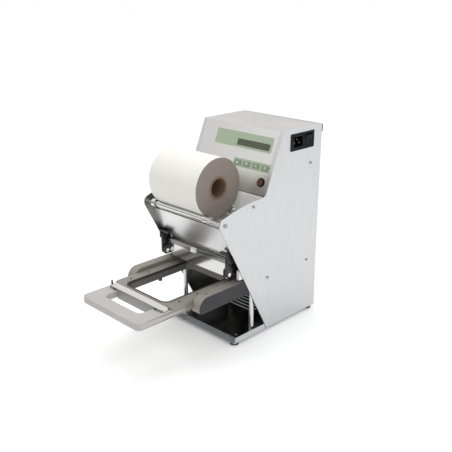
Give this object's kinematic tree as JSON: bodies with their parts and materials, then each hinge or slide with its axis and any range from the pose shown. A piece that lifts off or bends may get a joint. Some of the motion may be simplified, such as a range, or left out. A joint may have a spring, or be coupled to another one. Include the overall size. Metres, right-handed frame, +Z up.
{
  "type": "cup sealing machine",
  "caption": "Tabletop cup sealing machine with a sliding tray drawer, a spindle-driven heat sealing head, a film roll on rollers and a sloped control panel.",
  "frame": {"origin": "middle of the bounding box with the drawer fully out, on the plane the feet stand on", "axes": "+Z up, +Y from the drawer handle to the rear panel, +X to the mains inlet side"},
  "size_m": [0.2261, 0.4724, 0.411],
  "materials": {
    "brushed_stainless": "brushed",
    "polished_stainless": "polished",
    "chromed_steel": "polished",
    "black_coated_steel": "satin black",
    "dark_steel": "satin",
    "grey_moulding": "fine textured",
    "pale_moulding": "fine textured",
    "satin_aluminium": "satin",
    "black_plastic": "fine textured",
    "white_plastic": "smooth",
    "green_overlay": "printed film",
    "display_grey": "clear over grey green",
    "key_green": "embossed film",
    "button_red": "smooth",
    "black_rubber": "matt",
    "seal_rubber": "matt",
    "board_green": "solder mask",
    "copper_winding": "lacquered",
    "bronze": "machined",
    "insulation_board": "fibre",
    "film_white": "wound film",
    "core_board": "wound paper"
  },
  "bodies": {
    "root": {"base_pan": "polished_stainless", "left_side_plate": "brushed_stainless", "right_side_plate": "brushed_stainless", "top_cover": "brushed_stainless", "rear_panel": "black_coated_steel", "film_cradle": "brushed_stainless", "front_chute": "polished_stainless", "panel_overlay": "green_overlay", "display_window": "display_grey", "control_board": "board_green", "power_supply": "copper_winding", "inlet_housing": "black_plastic", "inlet_pins": "bronze", "button_bezel": "black_plastic", "rubber_feet": "black_rubber", "casing_screws": "chromed_steel", "front_shaft": "chromed_steel", "rear_shaft": "chromed_steel", "left_cheek": "grey_moulding", "right_cheek": "grey_moulding", "front_columns": "chromed_steel", "rear_columns": "chromed_steel", "top_bridge": "dark_steel", "gear_motor": "dark_steel", "film_guide_bar": "dark_steel", "film_sensor": "white_plastic", "link_guides": "white_plastic", "rocker_studs": "chromed_steel", "drawer_sensor": "dark_steel"},
    "sealing_head": {"head_carriage": "satin_aluminium", "carriage_bushings": "bronze", "insulation_plate": "insulation_board", "heater_plate": "satin_aluminium", "knife_frame": "dark_steel", "head_cover": "polished_stainless", "spindle_nut": "bronze", "head_ears": "black_coated_steel", "ear_pins": "chromed_steel"},
    "spindle": {"lift_spindle": "chromed_steel"},
    "rocker_left": {"left_rocker": "black_coated_steel"},
    "rocker_right": {"right_rocker": "black_coated_steel"},
    "link_left": {"left_link": "black_coated_steel"},
    "link_right": {"right_link": "black_coated_steel"},
    "drawer": {"drawer_plate": "pale_moulding", "cross_bar": "satin_aluminium", "tray_ring": "grey_moulding", "edge_seal": "seal_rubber", "drawer_screws": "black_coated_steel"},
    "film": {"film_roll": "film_white", "roll_core": "core_board"},
    "guide_roller": {"front_roller": "chromed_steel"},
    "support_roller": {"rear_roller": "chromed_steel"},
    "collar_left": {"left_collar": "chromed_steel"},
    "collar_right": {"right_collar": "chromed_steel"},
    "mains_rocker": {"rocker_switch": "black_plastic"},
    "start_button": {"push_button": "button_red"},
    "key_a": {"key_1": "key_green"},
    "key_b": {"key_2": "key_green"},
    "key_c": {"key_3": "key_green"},
    "key_d": {"key_4": "key_green"}
  },
  "joints": [
    {"name": "drawer_slide", "type": "slide", "parent": "root", "child": "drawer", "axis": [0, 1, 0], "range_m": [0, 0.15]},
    {"name": "head_slide", "type": "slide", "parent": "root", "child": "sealing_head", "axis": [0, 0, -1], "range_m": [0, 0.011]},
    {"name": "spindle_turn", "type": "hinge", "parent": "root", "child": "spindle", "pos_m": [0, 0.09675, 0.206], "axis": [0, 0, 1], "range_deg": [-1, 497]},
    {"name": "left_rocker_swing", "type": "hinge", "parent": "root", "child": "rocker_left", "pos_m": [-0.099, 0.01825, 0.1775], "axis": [1, 0, 0], "range_deg": [-0.5, 16.31]},
    {"name": "left_link_swing", "type": "hinge", "parent": "rocker_left", "child": "link_left", "pos_m": [-0.094, -0.02137, 0.183], "axis": [1, 0, 0], "range_deg": [-16.31, 0.5]},
    {"name": "right_rocker_swing", "type": "hinge", "parent": "root", "child": "rocker_right", "pos_m": [0.099, 0.01825, 0.1775], "axis": [1, 0, 0], "range_deg": [-0.5, 16.31]},
    {"name": "right_link_swing", "type": "hinge", "parent": "rocker_right", "child": "link_right", "pos_m": [0.094, -0.02137, 0.183], "axis": [1, 0, 0], "range_deg": [-16.31, 0.5]},
    {"name": "film_spin", "type": "hinge", "parent": "root", "child": "film", "pos_m": [-0.0125, -0.00975, 0.31428], "axis": [1, 0, 0], "continuous": true},
    {"name": "guide_roller_spin", "type": "hinge", "parent": "root", "child": "guide_roller", "pos_m": [-0.0125, -0.04575, 0.261], "axis": [1, 0, 0], "continuous": true},
    {"name": "support_roller_spin", "type": "hinge", "parent": "root", "child": "support_roller", "pos_m": [-0.0125, 0.03075, 0.26116], "axis": [1, 0, 0], "continuous": true},
    {"name": "left_collar_shift", "type": "slide", "parent": "root", "child": "collar_left", "axis": [1, 0, 0], "range_m": [-0.012, 0.002]},
    {"name": "right_collar_shift", "type": "slide", "parent": "root", "child": "collar_right", "axis": [1, 0, 0], "range_m": [-0.001, 0.036]},
    {"name": "mains_switch_tilt", "type": "hinge", "parent": "root", "child": "mains_rocker", "pos_m": [0.107, 0.18925, 0.38625], "axis": [0, 1, 0], "range_deg": [-16, 0]},
    {"name": "start_button_press", "type": "slide", "parent": "root", "child": "start_button", "axis": [0, 0.9212, -0.3891], "range_m": [0, 0.0015], "stiffness_N_per_m": 400},
    {"name": "key_a_press", "type": "slide", "parent": "root", "child": "key_a", "axis": [0, 0.9212, -0.3891], "range_m": [0, 0.0004], "stiffness_N_per_m": 1500},
    {"name": "key_b_press", "type": "slide", "parent": "root", "child": "key_b", "axis": [0, 0.9212, -0.3891], "range_m": [0, 0.0004], "stiffness_N_per_m": 1500},
    {"name": "key_c_press", "type": "slide", "parent": "root", "child": "key_c", "axis": [0, 0.9212, -0.3891], "range_m": [0, 0.0004], "stiffness_N_per_m": 1500},
    {"name": "key_d_press", "type": "slide", "parent": "root", "child": "key_d", "axis": [0, 0.9212, -0.3891], "range_m": [0, 0.0004], "stiffness_N_per_m": 1500}
  ],
  "couplings": [
    {"joint": "spindle_turn", "follows": "head_slide", "rad_per_m": 785.4},
    {"joint": "left_rocker_swing", "follows": "head_slide", "rad_per_m": 25.079},
    {"joint": "right_rocker_swing", "follows": "head_slide", "rad_per_m": 25.079},
    {"joint": "left_link_swing", "follows": "head_slide", "rad_per_m": -25.079},
    {"joint": "right_link_swing", "follows": "head_slide", "rad_per_m": -25.079},
    {"joint": "guide_roller_spin", "follows": "film_spin", "ratio": -10.636},
    {"joint": "support_roller_spin", "follows": "film_spin", "ratio": -7.3125}
  ]
}
